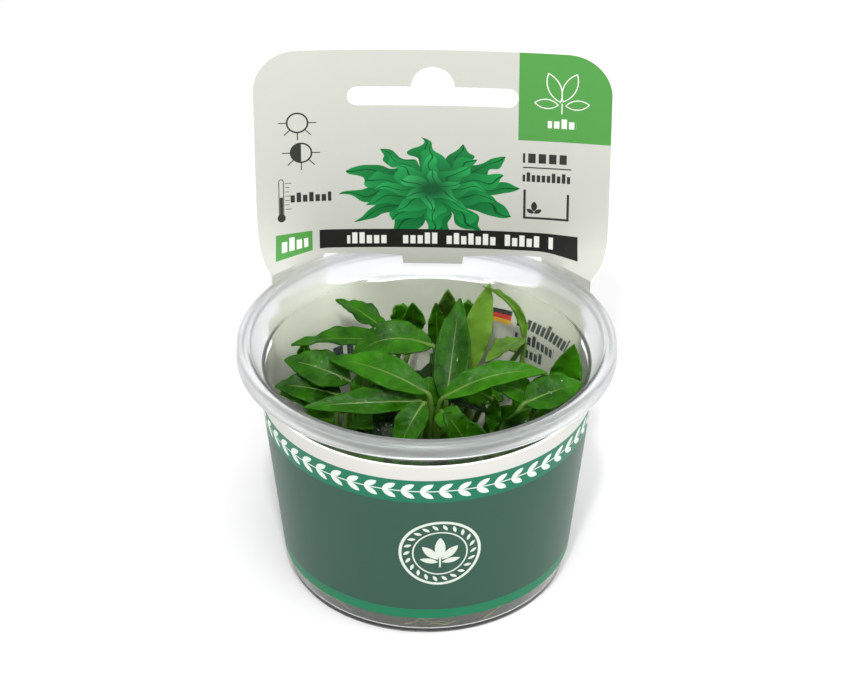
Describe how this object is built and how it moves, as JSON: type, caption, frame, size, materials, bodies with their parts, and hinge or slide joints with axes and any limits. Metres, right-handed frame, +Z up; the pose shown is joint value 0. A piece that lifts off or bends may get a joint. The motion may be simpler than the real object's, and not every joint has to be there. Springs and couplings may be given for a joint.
{
  "type": "potted aquarium plant",
  "caption": "Small broad-leaved aquarium plants growing in gel in a clear cup, with a printed card sleeve whose back stands up as a hanging header.",
  "frame": {"origin": "centre of the cup's flat underside", "axes": "+Z up through the cup's mouth, -Y toward the front of the sleeve, +Y toward the hanging header, X across the sleeve with -X on the left as seen from the front"},
  "size_m": [0.068, 0.068, 0.0882],
  "materials": {
    "clear_cup": "gloss",
    "printed_card": "satin",
    "growing_gel": "gloss",
    "rootstock": "satin",
    "leaf": "satin",
    "young_leaf": "satin",
    "shaded_leaf": "satin"
  },
  "bodies": {
    "root": {"card_sleeve": "printed_card", "crown_back_left": "rootstock", "crown_back_right": "rootstock", "crown_centre": "rootstock", "crown_front_left": "rootstock", "crown_front_right": "rootstock", "crown_left": "rootstock", "crown_right": "rootstock", "cup": "clear_cup", "gel_medium": "growing_gel", "leaf_arching_narrow": "young_leaf", "leaf_back_dark": "shaded_leaf", "leaf_back_left_pointer": "leaf", "leaf_back_left_small": "leaf", "leaf_back_rounded": "young_leaf", "leaf_behind_tall_yellow": "young_leaf", "leaf_bright_diagonal": "leaf", "leaf_centre_folded": "leaf", "leaf_centre_upright": "leaf", "leaf_far_right_upright": "leaf", "leaf_front_left_long": "leaf", "leaf_front_low_dark": "shaded_leaf", "leaf_front_middle": "leaf", "leaf_front_small_tip": "leaf", "leaf_left_back_small": "leaf", "leaf_left_broad": "leaf", "leaf_left_low": "leaf", "leaf_left_low_dark": "shaded_leaf", "leaf_left_over_centre": "leaf", "leaf_left_puckered": "leaf", "leaf_right_bright_long": "leaf", "leaf_right_broad": "leaf", "leaf_right_broad_low": "shaded_leaf", "leaf_right_low_dark": "shaded_leaf", "leaf_right_pale": "leaf", "leaf_right_small_tilted": "young_leaf", "leaf_tall_yellow": "young_leaf", "leaf_under_back_left_1": "shaded_leaf", "leaf_under_back_left_2": "shaded_leaf", "leaf_under_back_left_3": "shaded_leaf", "leaf_under_back_right_1": "shaded_leaf", "leaf_under_centre_1": "shaded_leaf", "leaf_under_front_left_1": "shaded_leaf", "leaf_under_front_left_2": "shaded_leaf", "leaf_under_front_left_3": "shaded_leaf", "leaf_under_front_right_1": "shaded_leaf", "leaf_under_front_right_2": "shaded_leaf", "leaf_under_left_1": "shaded_leaf", "leaf_under_left_2": "shaded_leaf", "leaf_under_right_1": "shaded_leaf"}
  },
  "joints": []
}
